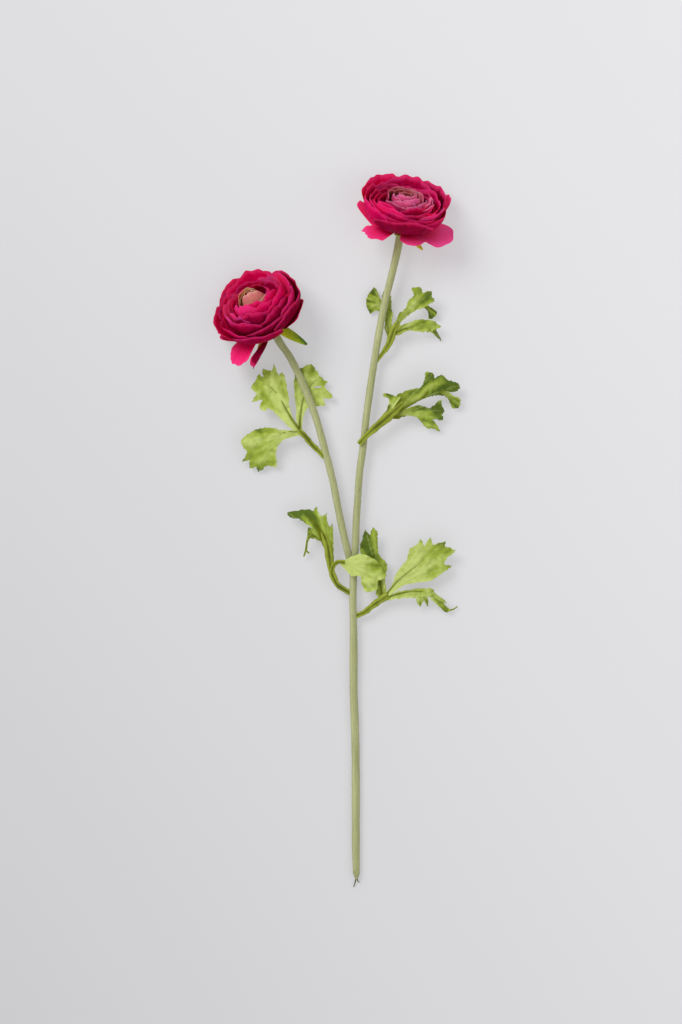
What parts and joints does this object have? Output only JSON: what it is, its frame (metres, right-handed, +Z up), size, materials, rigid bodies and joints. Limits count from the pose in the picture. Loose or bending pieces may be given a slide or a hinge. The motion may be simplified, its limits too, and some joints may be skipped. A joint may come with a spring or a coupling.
{
  "type": "persian buttercup flower",
  "caption": "Cut spray of persian buttercup lying down: a forked stem with full double crimson blooms, pale hearts and toothed leaves.",
  "frame": {"origin": "on the surface the spray lies on, under the middle of its bounding box", "axes": "+Y along the spray from the cut end of the stem to the blooms, +Z up from the surface, +X to the right as the spray is looked down on with its blooms at the top"},
  "size_m": [0.1581, 0.4603, 0.0512],
  "materials": {
    "stem": "matt, finely downy",
    "leaf": "soft matt",
    "sepal": "soft matt",
    "crimson_petal": "soft satin",
    "heart_petal": "soft matt"
  },
  "bodies": {
    "root": {"stem": "stem", "leaf_side_branch": "leaf", "leaf_upper": "leaf", "leaf_middle": "leaf", "leaf_fork": "leaf", "leaf_lowest": "leaf", "upper_calyx": "sepal", "upper_petals": "crimson_petal", "upper_heart": "heart_petal", "side_calyx": "sepal", "side_petals": "crimson_petal", "side_heart": "heart_petal"}
  },
  "joints": []
}
